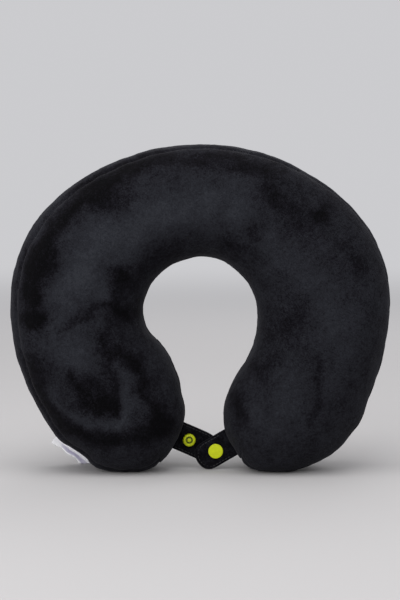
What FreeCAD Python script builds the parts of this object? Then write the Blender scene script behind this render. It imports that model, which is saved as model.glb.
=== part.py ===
"""U shaped neck pillow: a foam core in a lining and a zipped plush cover, with two
snap tabs at the throat and a care label.

The pillow stands on its two lobes. Z is up, the front looks towards -Y, and the
origin is on the floor under the middle. Lengths are in millimetres.
"""
import FreeCAD, Part
import math
import os
import Sketcher
from FreeCAD import Placement, Rotation, Vector

# Each driving size: its cell's name, its value, and what it is.
DRIVING_SIZES = [
    ("pillow_width", 320.0, "across the widest place"),
    ("pillow_height", 276.0, "floor to the top of the arch"),
    ("pillow_depth", 96.0, "front to back"),
    ("rim_share", 0.8334, "rounding of the rims, as a share of half the depth"),
    ("rise_share", 0.484, "arch above the widest place, as a share of the height"),
    ("shoulder_share", 0.88, "shoulder radius, as a share of that rise"),
    ("arch_share", 0.3467, "thickness of the arch's top, as a share of the height"),
    ("neck_share", 0.1757, "neck hole radius, as a share of the height"),
    ("lobe_share", 0.394, "lobe centre, as a share of half the width"),
    ("lobe_roundness", 0.757, "lobe radius, as a share of the room beside its centre"),
    ("heel_flat", 3.0, "straight stretch under each lobe"),
    ("sole_squash", 2.0, "how far each lobe is flattened by standing"),
    ("throat_gap", 34.0, "between the two lobes"),
    ("cover_thickness", 1.8, "plush with its pile"),
    ("cover_ease", 2.8, "room between cover and lining, for the zipper"),
    ("lining_thickness", 0.5, "knitted lining"),
    ("lining_ease", 0.3, "room between lining and foam"),
    ("seam_offset", 28.0, "each perimeter seam from the middle plane"),
    ("throat_panel_half_width", 34.0, "where the side band ends, under each heel"),
    ("ring_panel_share", 0.9, "how far past the neck hole the panels turn in, of the rim"),
    ("zip_share", 0.84, "zipper, as a share of the arch's round stretch"),
    ("slot_half_width", 4.0, "opening left over the zipper, each side of its middle"),
    ("tape_thickness", 0.6, "woven zipper tape"),
    ("tape_width", 13.4, "each tape, from the coil outwards"),
    ("tape_cover_gap", 0.3, "under the cover"),
    ("coil_height", 1.8, "zipper coil"),
    ("coil_width", 1.8, "zipper coil"),
    ("coil_gap", 0.6, "coil from the zipper's middle"),
    ("stop_length", 2.6, "end stop along the zipper"),
    ("slider_length", 8.0, "zipper slider"),
    ("slider_half_width", 3.4, "zipper slider"),
    ("slider_plate", 1.2, "slider's top plate"),
    ("pull_length", 21.0, "pull from its pin to its tip"),
    ("pull_half_width", 3.0, "pull at its wide end"),
    ("pull_thickness", 1.2, "pull"),
    ("tab_width", 24.0, "each snap tab"),
    ("tab_ply", 1.0, "one layer of a tab"),
    ("tab_offset", 4.0, "each tab's middle from the pillow's middle plane"),
    ("tab_root_gap", 1.4, "tab's sewn end off the lobe, so that it can swing"),
    ("stitch_inset", 2.0, "top stitching from a tab's edge"),
    ("stitch_width", 0.6, "top stitching"),
    ("stitch_height", 0.25, "top stitching above the fabric"),
    ("left_tab_length", 35.0, "root to tip"),
    ("left_tab_droop", 23.5, "degrees below level"),
    ("left_tab_height", 28.0, "middle of its root above the floor"),
    ("right_tab_length", 28.0, "root to tip"),
    ("right_tab_droop", 30.0, "degrees below level"),
    ("socket_reach", 10.6, "snap socket from the left tab's root"),
    ("stud_reach", 10.0, "snap stud from the right tab's root"),
    ("cap_diameter", 12.4, "snap cap"),
    ("cap_thickness", 1.4, "snap cap at its middle"),
    ("snap_diameter", 10.8, "snap socket and stud"),
    ("socket_height", 2.6, "snap socket"),
    ("stud_height", 3.6, "snap stud"),
    ("prong_diameter", 2.2, "prong of a snap cap"),
    ("recess_diameter", 6.2, "socket's recess"),
    ("knob_diameter", 5.6, "stud's knob"),
    ("floor_gap", 0.3, "what hangs low, off the floor"),
    ("label_width", 38.0, "care label along its seam"),
    ("label_reach", 11.0, "care label out of its seam"),
    ("label_angle", 47.0, "degrees below level that the care label points"),
    ("label_leaf", 0.35, "one layer of the care label"),
    ("label_fold_gap", 0.5, "between the label's two leaves"),
    ("label_root_gap", 1.2, "label's sewn edge off the cover, so that it can flap"),
]

# Sizes that follow from the driving ones.
DERIVED_SIZES = [
    ("half_width", "Sizes.pillow_width / 2"),
    ("half_depth", "Sizes.pillow_depth / 2"),
    ("rise", "min(Sizes.pillow_height * Sizes.rise_share; Derived.half_width * 0.84)"),
    ("waist_height", "Sizes.pillow_height - Derived.rise"),
    ("shoulder_radius", "Derived.rise * Sizes.shoulder_share"),
    ("shoulder_centre", "Derived.half_width - Derived.shoulder_radius"),
    ("crown_radius", "(Derived.half_width ^ 2 + Derived.rise ^ 2"
     " - 2 * Derived.half_width * Derived.shoulder_radius)"
     " / (2 * (Derived.rise - Derived.shoulder_radius))"),
    ("crown_centre", "Sizes.pillow_height - Derived.crown_radius"),
    ("crown_span", "atan2(Derived.shoulder_centre;"
     " Derived.waist_height - Derived.crown_centre) / 1 deg"),
    ("lobe_centre", "Derived.half_width * Sizes.lobe_share"),
    ("lobe_radius", "(Derived.half_width - Derived.lobe_centre) * Sizes.lobe_roundness"),
    ("lobe_centre_height", "Derived.lobe_radius - Sizes.sole_squash"),
    ("heel_centre", "Derived.lobe_centre - Sizes.heel_flat"),
    ("heel_radius", "Derived.heel_centre - Sizes.throat_gap / 2"),
    ("heel_centre_height", "Derived.heel_radius - Sizes.sole_squash"),
    ("arch_thickness", "Sizes.pillow_height * Sizes.arch_share"),
    ("neck_radius", "Sizes.pillow_height * Sizes.neck_share"),
    ("neck_height", "Sizes.pillow_height - Derived.arch_thickness - Derived.neck_radius"),
    ("rim_radius", "min(Derived.half_depth * Sizes.rim_share;"
     " min(Derived.heel_radius - 3; Derived.arch_thickness * 0.42))"),
    ("rim_centre", "Derived.half_depth - Derived.rim_radius"),
    ("rim_height", "Derived.crown_radius - Derived.rim_radius"),
    ("lining_outside", "Sizes.cover_thickness + Sizes.cover_ease"),
    ("lining_inside", "Derived.lining_outside + Sizes.lining_thickness"),
    ("foam_outside", "Derived.lining_inside + Sizes.lining_ease"),
    ("seam_lean", "asin((Sizes.seam_offset - Derived.rim_centre)"
     " / Derived.rim_radius) / 1 deg"),
    ("seam_inset", "Derived.rim_radius * (1 - cos(Derived.seam_lean))"),
    ("zip_half_angle", "Derived.crown_span * Sizes.zip_share"),
    ("tape_top", "Derived.rim_radius - Sizes.cover_thickness - Sizes.tape_cover_gap"),
    ("coil_top", "Derived.tape_top + Sizes.coil_height"),
    ("zip_line_radius", "Derived.rim_height"
     " + Derived.tape_top * cos(Derived.seam_lean)"),
    ("stop_half_angle", "Sizes.stop_length / 2 / Derived.zip_line_radius * 180 / pi"),
    ("stop_angle", "Derived.zip_half_angle - 1.5 * Derived.stop_half_angle"),
    ("slider_angle", "Derived.stop_angle - Derived.stop_half_angle"
     " - (Sizes.slider_length / 2 + 1) / Derived.zip_line_radius * 180 / pi"),
    ("heel_swing_radius", "Derived.heel_radius + Sizes.tab_root_gap"),
    ("left_tab_lean", "asin((Derived.heel_centre_height - Sizes.left_tab_height)"
     " / Derived.heel_swing_radius) / 1 deg"),
    ("right_tab_height", "Sizes.floor_gap + Sizes.tab_width / 2"
     " + (Sizes.right_tab_length - Sizes.tab_width / 2) * sin(Sizes.right_tab_droop)"),
    ("right_tab_lean", "asin((Derived.heel_centre_height - Derived.right_tab_height)"
     " / Derived.heel_swing_radius) / 1 deg"),
    ("left_root", "-Derived.heel_centre"
     " + Derived.heel_swing_radius * cos(Derived.left_tab_lean)"),
    ("right_root", "Derived.heel_centre"
     " - Derived.heel_swing_radius * cos(Derived.right_tab_lean)"),
    ("label_radius", "Derived.lobe_radius - Derived.seam_inset + Sizes.label_root_gap"),
    ("label_root", "-Derived.lobe_centre - Derived.label_radius * cos(Sizes.label_angle)"),
    ("label_root_height", "Derived.lobe_centre_height"
     " - Derived.label_radius * sin(Sizes.label_angle)"),
    ("label_room", "(Derived.label_root_height - Sizes.floor_gap"
     " - Sizes.label_width / 2 * cos(Sizes.label_angle)) / sin(Sizes.label_angle)"),
    ("label_length", "min(Sizes.label_reach; Derived.label_room)"),
    ("label_half_thickness", "Sizes.label_leaf + Sizes.label_fold_gap / 2"),
]

doc = FreeCAD.newDocument("NeckPillow")


def fill_sheet():
    """Put the driving sizes in a spreadsheet, one named cell each."""
    sheet = doc.addObject("Spreadsheet::Sheet", "Sizes")
    for row, (name, value, meaning) in enumerate(DRIVING_SIZES, start=1):
        sheet.set("A%d" % row, meaning)
        sheet.set("B%d" % row, str(value))
        sheet.setAlias("B%d" % row, name)
    doc.recompute()


def fill_derived():
    """Work out the derived sizes from the spreadsheet."""
    derived = doc.addObject("App::VarSet", "Derived")
    for name, expression in DERIVED_SIZES:
        derived.addProperty("App::PropertyFloat", name, "Sizes")
        derived.setExpression(name, expression)
        doc.recompute()


fill_sheet()
fill_derived()
gauge = doc.addObject("App::VarSet", "Gauge")
gauge.addProperty("App::PropertyFloat", "reading", "Sizes")


def measure(expression):
    """Return what an expression comes to now."""
    gauge.setExpression("reading", expression)
    gauge.recompute()
    return gauge.reading


def bind_place(item, x="0", y="0", z="0", turn="0"):
    """Bind an object's position, and its turn about the Y axis in degrees."""
    item.Placement = Placement(Vector(), Rotation(Vector(0, 1, 0), 0.001))
    for axis, expression in (("x", x), ("y", y), ("z", z)):
        item.setExpression("Placement.Base." + axis, expression)
    item.setExpression("Placement.Rotation.Angle", "(%s) * 1 deg" % turn)


# Sketches


def origin_feature(body, role):
    """Find one of a body's own base planes or axes."""
    return [item for item in body.Origin.OriginFeatures if item.Role == role][0]


def new_body(name):
    """Start a body whose label is its file's name."""
    body = doc.addObject("PartDesign::Body", name)
    body.Label = name
    return body


def new_sketch(body, name, role):
    """Start a sketch on one of the body's base planes."""
    sketch = body.newObject("Sketcher::SketchObject", name)
    sketch.AttachmentSupport = (origin_feature(body, role), [""])
    sketch.MapMode = "FlatFace"
    return sketch


def hold(sketch, name, expression, kind, *where):
    """Add a named dimension to a sketch and bind it to an expression."""
    index = sketch.addConstraint(Sketcher.Constraint(kind, *where, measure(expression)))
    sketch.renameConstraint(index, name)
    sketch.setExpression("Constraints." + name, expression)


def relate(sketch, kind, *where):
    """Add a geometric constraint to a sketch."""
    sketch.addConstraint(Sketcher.Constraint(kind, *where))


def arc(centre, radius, start, end):
    """Return an arc drawn anticlockwise between two angles in degrees."""
    circle = Part.Circle(Vector(centre[0], centre[1], 0), Vector(0, 0, 1), radius)
    return Part.ArcOfCircle(circle, math.radians(start), math.radians(end))


def line(start, end):
    """Return a straight sketch line."""
    return Part.LineSegment(Vector(start[0], start[1], 0), Vector(end[0], end[1], 0))


def polygon(sketch, corners, tag="corner"):
    """Draw a closed outline through corners given as pairs of expressions."""
    places = [(measure(across), measure(up)) for across, up in corners]
    count = len(places)
    first = sketch.GeometryCount
    for i in range(count):
        sketch.addGeometry(line(places[i], places[(i + 1) % count]))
    for i in range(count):
        relate(sketch, "Coincident", first + i, 2, first + (i + 1) % count, 1)
    for i, (across, up) in enumerate(corners):
        hold(sketch, "%s%d_across" % (tag, i), across, "DistanceX", -1, 1, first + i, 1)
        hold(sketch, "%s%d_up" % (tag, i), up, "DistanceY", -1, 1, first + i, 1)


def pad(body, sketch, length, symmetric=False, backwards=False):
    """Thicken a sketch."""
    feature = body.newObject("PartDesign::Pad", "Pad")
    feature.Profile = sketch
    feature.setExpression("Length", length)
    feature.Midplane = symmetric
    feature.Reversed = backwards
    return feature


def turn_about_y(body, sketch, angle, symmetric=False):
    """Revolve a sketch about the body's Y axis."""
    feature = body.newObject("PartDesign::Revolution", "Revolution")
    feature.Profile = sketch
    feature.ReferenceAxis = (origin_feature(body, "Y_Axis"), [""])
    feature.setExpression("Angle", angle)
    feature.Midplane = symmetric
    return feature


# The pillow's form, which the foam, the lining and the cover share


def direction(x, z):
    """Return the angle of a direction in degrees."""
    return math.degrees(math.atan2(z, x))


def half_outline(form, inset):
    """Sketch the right half of the outline, moved inwards by an inset."""
    sketch = new_sketch(form, "HalfOutline", "XZ_Plane")
    step = measure(inset)
    half_width = measure("Derived.half_width")
    waist = measure("Derived.waist_height")
    crown = (0, measure("Derived.crown_centre"))
    crown_radius = measure("Derived.crown_radius") - step
    shoulder = (measure("Derived.shoulder_centre"), waist)
    shoulder_radius = measure("Derived.shoulder_radius") - step
    lobe = (measure("Derived.lobe_centre"), measure("Derived.lobe_centre_height"))
    lobe_radius = measure("Derived.lobe_radius")
    beside = half_width - lobe[0]
    below = waist - lobe[1]
    flank_radius = (beside ** 2 + below ** 2 - lobe_radius ** 2) / (2 * (beside - lobe_radius))
    flank = (half_width - flank_radius, waist)
    heel = (measure("Derived.heel_centre"), measure("Derived.heel_centre_height"))
    heel_radius = measure("Derived.heel_radius") - step
    neck = (0, measure("Derived.neck_height"))
    neck_radius = measure("Derived.neck_radius") + step
    spread = math.hypot(heel[0] - neck[0], heel[1] - neck[1])
    throat = (direction(heel[0] - neck[0], heel[1] - neck[1])
              + math.degrees(math.acos((heel_radius + neck_radius) / spread)))
    shoulder_turn = direction(shoulder[0] - crown[0], shoulder[1] - crown[1])
    lobe_turn = direction(lobe[0] - flank[0], lobe[1] - flank[1])
    lean = Vector(math.cos(math.radians(throat)), math.sin(math.radians(throat)), 0)
    neck_end = (neck[0] + neck_radius * lean.x, neck[1] + neck_radius * lean.y)
    heel_end = (heel[0] - heel_radius * lean.x, heel[1] - heel_radius * lean.y)
    floor = step - measure("Sizes.sole_squash")

    crown_arc = sketch.addGeometry(arc(crown, crown_radius, shoulder_turn, 90))
    shoulder_arc = sketch.addGeometry(arc(shoulder, shoulder_radius, 0, shoulder_turn))
    flank_arc = sketch.addGeometry(arc(flank, flank_radius - step, lobe_turn, 0))
    lobe_arc = sketch.addGeometry(arc(lobe, lobe_radius - step, -90, lobe_turn))
    heel_arc = sketch.addGeometry(arc(heel, heel_radius, 180 + throat, 270))
    neck_arc = sketch.addGeometry(arc(neck, neck_radius, throat, 90))
    sole = sketch.addGeometry(line((heel[0], floor), (lobe[0], floor)))
    throat_side = sketch.addGeometry(line(neck_end, heel_end))
    middle = sketch.addGeometry(line((0, neck[1] + neck_radius), (0, crown[1] + crown_radius)))

    relate(sketch, "Tangent", crown_arc, 1, shoulder_arc, 2)
    relate(sketch, "Tangent", shoulder_arc, 1, flank_arc, 2)
    relate(sketch, "Tangent", flank_arc, 1, lobe_arc, 2)
    relate(sketch, "Tangent", lobe_arc, 1, sole, 2)
    relate(sketch, "Tangent", sole, 1, heel_arc, 2)
    relate(sketch, "Tangent", heel_arc, 1, throat_side, 2)
    relate(sketch, "Tangent", throat_side, 1, neck_arc, 1)
    relate(sketch, "Coincident", neck_arc, 2, middle, 1)
    relate(sketch, "Coincident", middle, 2, crown_arc, 2)
    relate(sketch, "Horizontal", sole)
    for place in ((middle, 1), (middle, 2), (crown_arc, 3), (neck_arc, 3)):
        relate(sketch, "PointOnObject", place[0], place[1], -2)
    hold(sketch, "top", "Sizes.pillow_height - " + inset, "DistanceY", -1, 1, crown_arc, 2)
    hold(sketch, "neck_height", "Derived.neck_height", "DistanceY", -1, 1, neck_arc, 3)
    hold(sketch, "neck_radius", "Derived.neck_radius + " + inset, "Radius", neck_arc)
    hold(sketch, "shoulder_x", "Derived.shoulder_centre", "DistanceX", -1, 1, shoulder_arc, 3)
    hold(sketch, "shoulder_z", "Derived.waist_height", "DistanceY", -1, 1, shoulder_arc, 3)
    hold(sketch, "shoulder_radius", "Derived.shoulder_radius - " + inset, "Radius", shoulder_arc)
    hold(sketch, "flank_z", "Derived.waist_height", "DistanceY", -1, 1, flank_arc, 3)
    hold(sketch, "lobe_x", "Derived.lobe_centre", "DistanceX", -1, 1, lobe_arc, 3)
    hold(sketch, "lobe_radius", "Derived.lobe_radius - " + inset, "Radius", lobe_arc)
    hold(sketch, "heel_x", "Derived.heel_centre", "DistanceX", -1, 1, heel_arc, 3)
    hold(sketch, "heel_radius", "Derived.heel_radius - " + inset, "Radius", heel_arc)
    hold(sketch, "floor", inset + " - Sizes.sole_squash", "DistanceY", -1, 1, sole, 1)
    return sketch


def rim_edges(shape, half_depth):
    """Name the edges that lie in the front and back faces."""
    names = []
    for number, edge in enumerate(shape.Edges, start=1):
        box = edge.BoundBox
        if box.YLength < 1e-4 and abs(abs(box.YMin) - half_depth) < 1e-4:
            names.append("Edge%d" % number)
    return names


def pillow_form(name, inset):
    """Build the whole rounded form, moved inwards by an inset on every side."""
    form = new_body(name)
    slab = pad(form, half_outline(form, inset), "2 * (Derived.half_depth - (%s))" % inset, True)
    doc.recompute()
    mirrored = form.newObject("PartDesign::Mirrored", "OtherHalf")
    mirrored.Originals = [slab]
    mirrored.MirrorPlane = (origin_feature(form, "YZ_Plane"), [""])
    form.Tip = mirrored
    doc.recompute()
    rims = form.newObject("PartDesign::Fillet", "Rims")
    edges = rim_edges(mirrored.Shape, measure("Derived.half_depth - (%s)" % inset))
    rims.Base = (mirrored, edges)
    rims.setExpression("Radius", "Derived.rim_radius - (%s)" % inset)
    doc.recompute()
    below_floor = new_sketch(form, "BelowFloor", "XY_Plane")
    below_floor.setExpression("AttachmentOffset.Base.z", inset)
    polygon(below_floor, [("-Sizes.pillow_width", "-Sizes.pillow_depth"),
                          ("Sizes.pillow_width", "-Sizes.pillow_depth"),
                          ("Sizes.pillow_width", "Sizes.pillow_depth"),
                          ("-Sizes.pillow_width", "Sizes.pillow_depth")])
    soles = form.newObject("PartDesign::Pocket", "Soles")
    soles.Profile = below_floor
    soles.Type = "ThroughAll"
    form.Tip = soles
    doc.recompute()
    return form


# Joining and parting


def box(name, size, corner):
    """Return a box from expressions for its size and its lowest corner."""
    block = doc.addObject("Part::Box", name)
    for prop, expression in zip(("Length", "Width", "Height"), size):
        block.setExpression(prop, expression)
    for axis, expression in zip("xyz", corner):
        block.setExpression("Placement.Base." + axis, expression)
    return block


def cut(name, base, tool):
    """Take one shape away from another."""
    result = doc.addObject("Part::Cut", name)
    result.Base = base
    result.Tool = tool
    result.Label = name
    return result


def common(name, base, tool):
    """Keep what two shapes share."""
    result = doc.addObject("Part::Common", name)
    result.Base = base
    result.Tool = tool
    result.Label = name
    return result


def fuse(name, shapes):
    """Join shapes into one."""
    result = doc.addObject("Part::MultiFuse", name)
    result.Shapes = shapes
    result.Label = name
    return result


def panel_space(name, back):
    """Return the space that the front or the back panel of the cover takes.

    A panel covers its whole face up to the perimeter seam, and turns in to the
    middle plane round the neck hole and the throat.
    """
    face_y = "Sizes.seam_offset" if back else "-Sizes.pillow_depth"
    turn_y = "0" if back else "-Sizes.seam_offset"
    face = box(name + "Face",
               ("2 * Sizes.pillow_width", "Sizes.pillow_depth - Sizes.seam_offset",
                "2 * Sizes.pillow_height"),
               ("-Sizes.pillow_width", face_y, "-Sizes.pillow_height / 2"))
    throat = box(name + "Throat",
                 ("2 * Sizes.throat_panel_half_width", "Sizes.seam_offset",
                  "Derived.neck_height + Sizes.sole_squash"),
                 ("-Sizes.throat_panel_half_width", turn_y, "-Sizes.sole_squash"))
    ring = doc.addObject("Part::Cylinder", name + "Ring")
    ring.setExpression("Radius", "Derived.neck_radius"
                       " + Derived.rim_radius * Sizes.ring_panel_share")
    ring.setExpression("Height", "Sizes.seam_offset")
    ring.Placement = Placement(Vector(), Rotation(Vector(1, 0, 0), 90))
    ring.setExpression("Placement.Base.y", "Sizes.seam_offset" if back else "0")
    ring.setExpression("Placement.Base.z", "Derived.neck_height")
    return fuse(name, [face, throat, ring])


# The zipper, drawn at the top of the arch and turned about the crown's centre


def zip_strip(name, low, high, side_from, side_to, half_angle, turn="0"):
    """Build a strip that follows the back seam of the arch.

    Its section lies between two heights above the rim's centre line and two
    distances across the seam, both measured round the rim.
    """
    body = new_body(name)
    sketch = new_sketch(body, "Section", "YZ_Plane")
    sketch.AttachmentOffset = Placement(Vector(), Rotation(Vector(0, 0, 1), -1))
    sketch.setExpression("AttachmentOffset.Base.x", "Derived.rim_centre")
    sketch.setExpression("AttachmentOffset.Base.y", "Derived.rim_height")
    sketch.setExpression("AttachmentOffset.Rotation.Angle", "-Derived.seam_lean * 1 deg")
    sides = ["(%s) / Derived.rim_radius * 180 / pi" % side for side in (side_from, side_to)]
    near, far = [measure(side) for side in sides]
    radii = [measure(low), measure(high)]
    inner = sketch.addGeometry(arc((0, 0), radii[0], 90 - far, 90 - near))
    outer = sketch.addGeometry(arc((0, 0), radii[1], 90 - far, 90 - near))
    ends = []
    for side in (near, far):
        reach = (math.sin(math.radians(side)), math.cos(math.radians(side)))
        ends.append(sketch.addGeometry(line((radii[0] * reach[0], radii[0] * reach[1]),
                                            (radii[1] * reach[0], radii[1] * reach[1]))))
    for curve in (inner, outer):
        relate(sketch, "Coincident", curve, 3, -1, 1)
    for end, corner in zip(ends, (2, 1)):
        relate(sketch, "Coincident", end, 1, inner, corner)
        relate(sketch, "Coincident", end, 2, outer, corner)
    hold(sketch, "low", low, "Radius", inner)
    hold(sketch, "high", high, "Radius", outer)
    for tag, end, side in zip(("near", "far"), ends, sides):
        hold(sketch, tag + "_low", "(%s) * sin(%s)" % (low, side), "DistanceX", -1, 1, end, 1)
        hold(sketch, tag + "_high", "(%s) * sin(%s)" % (high, side), "DistanceX", -1, 1, end, 2)
    turn_about_y(body, sketch, "2 * " + half_angle, True)
    bind_place(body, z="Derived.crown_centre", turn=turn)
    return body


def zipper_chain():
    """Build the two tapes, their coils and the end stops."""
    tape_low = "Derived.tape_top - Sizes.tape_thickness"
    near = "Sizes.coil_gap"
    for end, sign in (("front", "-"), ("back", "")):
        for piece, low, high, width in (
                ("tape", tape_low, "Derived.tape_top", "Sizes.tape_width"),
                ("coil", "Derived.tape_top", "Derived.coil_top", "Sizes.coil_width")):
            reach = "(%s + %s)" % (near, width)
            sides = [sign + near, sign + reach]
            if sign:
                sides.reverse()
            zip_strip("zipper_%s_%s" % (piece, end), low, high, sides[0], sides[1],
                      "Derived.zip_half_angle")
    stop_side = "(Sizes.coil_gap + Sizes.coil_width)"
    for side, sign in (("left", "-"), ("right", "")):
        zip_strip("zipper_stop_" + side, "Derived.coil_top", "Derived.coil_top + 0.9",
                  "-" + stop_side, stop_side, "Derived.stop_half_angle",
                  sign + "Derived.stop_angle")


def zipper_frame(item, turn_expression):
    """Place a body drawn on the slider's own axes: X along the zip, Z off the cover."""
    lean = measure("Derived.seam_lean")
    turn = measure(turn_expression)
    reach = Vector(0, measure("Derived.rim_centre"), measure("Derived.rim_height"))
    rim = measure("Derived.rim_radius")
    upright = Placement(Vector(0, 0, measure("Derived.crown_centre")),
                        Rotation(Vector(0, 1, 0), turn))
    leaning = Placement(reach, Rotation(Vector(1, 0, 0), -lean))
    item.Placement = upright * leaning * Placement(Vector(0, 0, rim), Rotation())


def slider():
    """Build the zipper's slider: two plates, a web between the coils, and a pin for the pull."""
    body = new_body("zipper_slider")
    section = new_sketch(body, "Section", "YZ_Plane")
    web = "0.3"
    under_top = "0.2"
    top = "(0.2 + Sizes.slider_plate)"
    flange = "(Sizes.slider_half_width - 0.5)"
    flange_low = "(-Sizes.cover_thickness)"
    under_tape = "(-Sizes.cover_thickness - Sizes.tape_cover_gap - Sizes.tape_thickness - 0.3)"
    bottom = "(-Sizes.cover_thickness - Sizes.tape_cover_gap - Sizes.tape_thickness - 1.2)"
    right_side = [(web, under_top), (flange, under_top), (flange, flange_low),
                  ("Sizes.slider_half_width", flange_low), ("Sizes.slider_half_width", top)]
    right_bottom = [("Sizes.slider_half_width", bottom),
                    ("Sizes.slider_half_width", under_tape), (web, under_tape)]
    right = right_bottom + right_side
    left = [("-" + across, up) for across, up in reversed(right)]
    polygon(section, right + left)
    pad(body, section, "Sizes.slider_length", True)
    doc.recompute()
    for number, (low, high) in enumerate((("1.7", "2.5"), ("-2.5", "-1.7"))):
        lug = new_sketch(body, "Lug%d" % number, "XY_Plane")
        lug.setExpression("AttachmentOffset.Base.z", top)
        polygon(lug, [("-1.5", low), ("1.5", low), ("1.5", high), ("-1.5", high)])
        pad(body, lug, "3")
        doc.recompute()
    pin = new_sketch(body, "Pin", "XZ_Plane")
    circle = pin.addGeometry(Part.Circle(Vector(0, 3.4, 0), Vector(0, 0, 1), 0.5))
    hold(pin, "pin_height", "2 + " + top, "DistanceY", -1, 1, circle, 3)
    relate(pin, "PointOnObject", circle, 3, -2)
    hold(pin, "pin_radius", "0.5", "Radius", circle)
    pad(body, pin, "4.2", True)
    zipper_frame(body, "Derived.slider_angle")
    return body



def pull():
    """Build the pull: an eye round the slider's pin and a plate."""
    body = new_body("zipper_pull")
    pin_height = "(2.2 + Sizes.slider_plate)"
    eye = new_sketch(body, "Eye", "XZ_Plane")
    for name, radius in (("outer", "1.6"), ("inner", "0.75")):
        ring = eye.addGeometry(Part.Circle(Vector(0, 3.4, 0), Vector(0, 0, 1), measure(radius)))
        relate(eye, "PointOnObject", ring, 3, -2)
        hold(eye, name + "_height", pin_height, "DistanceY", -1, 1, ring, 3)
        hold(eye, name + "_radius", radius, "Radius", ring)
    pad(body, eye, "2.4", True)
    doc.recompute()
    plate = new_sketch(body, "Plate", "XY_Plane")
    plate.setExpression("AttachmentOffset.Base.z", pin_height + " - Sizes.pull_thickness / 2")
    half = "Sizes.pull_half_width"
    polygon(plate, [("1.2", "-1.2"), ("3.2", "-1.2"), ("4.6", "-" + half),
                    ("Sizes.pull_length - 2", "-" + half), ("Sizes.pull_length", "1.4 - " + half),
                    ("Sizes.pull_length", half + " - 1.4"), ("Sizes.pull_length - 2", half),
                    ("4.6", half), ("3.2", "1.2"), ("1.2", "1.2")])
    pad(body, plate, "Sizes.pull_thickness")
    zipper_frame(body, "Derived.slider_angle")
    return body


# The snap tabs, each drawn along its own X axis from the middle of its root


def tab_loop(sketch, tag, length, lean, inset, hole=None):
    """Draw a tab's outline: a hollow root that follows the lobe, and a round tip."""
    step = measure(inset)
    reach = measure("Derived.heel_swing_radius")
    turn = measure(lean)
    half = measure("Sizes.tab_width / 2") - step
    tip = measure("%s - Sizes.tab_width / 2" % length)
    hub = (-reach * math.cos(math.radians(turn)), -reach * math.sin(math.radians(turn)))
    radius = reach + step
    high = math.degrees(math.asin((half - hub[1]) / radius))
    low = math.degrees(math.asin((-half - hub[1]) / radius))
    top_start = (hub[0] + radius * math.cos(math.radians(high)), half)
    bottom_start = (hub[0] + radius * math.cos(math.radians(low)), -half)
    root = sketch.addGeometry(arc(hub, radius, low, high))
    end = sketch.addGeometry(arc((tip, 0), half, -90, 90))
    upper = sketch.addGeometry(line(top_start, (tip, half)))
    lower = sketch.addGeometry(line(bottom_start, (tip, -half)))
    relate(sketch, "Coincident", root, 2, upper, 1)
    relate(sketch, "Coincident", root, 1, lower, 1)
    relate(sketch, "Tangent", upper, 2, end, 2)
    relate(sketch, "Tangent", lower, 2, end, 1)
    relate(sketch, "Horizontal", upper)
    relate(sketch, "PointOnObject", end, 3, -1)
    hold(sketch, tag + "_root_x", "-Derived.heel_swing_radius * cos(%s)" % lean,
         "DistanceX", -1, 1, root, 3)
    hold(sketch, tag + "_root_z", "-Derived.heel_swing_radius * sin(%s)" % lean,
         "DistanceY", -1, 1, root, 3)
    hold(sketch, tag + "_root_radius", "Derived.heel_swing_radius + " + inset, "Radius", root)
    hold(sketch, tag + "_tip_radius", "Sizes.tab_width / 2 - " + inset, "Radius", end)
    hold(sketch, tag + "_tip_x", "%s - Sizes.tab_width / 2" % length, "DistanceX", -1, 1, end, 3)
    if hole:
        snap = sketch.addGeometry(Part.Circle(Vector(measure(hole), 0, 0), Vector(0, 0, 1), 1.2))
        relate(sketch, "PointOnObject", snap, 3, -1)
        hold(sketch, tag + "_snap_x", hole, "DistanceX", -1, 1, snap, 3)
        hold(sketch, tag + "_snap_radius", "Sizes.prong_diameter / 2 + 0.1", "Radius", snap)


def turned(name, profile):
    """Revolve an outline of radius and height pairs about the body's Y axis."""
    body = new_body(name)
    sketch = new_sketch(body, "Profile", "XY_Plane")
    polygon(sketch, profile)
    turn_about_y(body, sketch, "360")
    return body


def snap_cap(name, facing):
    """Build a cap with its prong; facing is the side its plain face looks to."""
    near = "%s * Sizes.tab_ply" % facing
    cap = "Sizes.cap_diameter / 2"
    prong = "Sizes.prong_diameter / 2"
    far = "%s * (Sizes.tab_ply + Sizes.cap_thickness)" % facing
    edge = "%s * (Sizes.tab_ply + Sizes.cap_thickness * 0.6)" % facing
    inside = "%s * -1 * (Sizes.tab_ply + 0.8)" % facing
    head = "%s * -1 * (Sizes.tab_ply + 1.5)" % facing
    return turned(name, [("0", far), (cap + " * 0.72", far), (cap, edge), (cap, near),
                         (prong, near), (prong, inside), ("1.6", inside), ("1.4", head),
                         ("0", head)])


def snap_socket(name, facing):
    """Build the socket that the knob presses into."""
    outer = "Sizes.snap_diameter / 2"
    bore = "Sizes.prong_diameter / 2 + 0.1"
    recess = "Sizes.recess_diameter / 2"
    base = "%s * Sizes.tab_ply" % facing
    floor = "%s * (Sizes.tab_ply + 0.8)" % facing
    rim = "%s * (Sizes.tab_ply + Sizes.socket_height - 0.5)" % facing
    top = "%s * (Sizes.tab_ply + Sizes.socket_height)" % facing
    return turned(name, [(bore, base), (outer, base), (outer, rim), (outer + " - 0.6", top),
                         (recess, top), (recess, floor), (bore, floor)])


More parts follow.
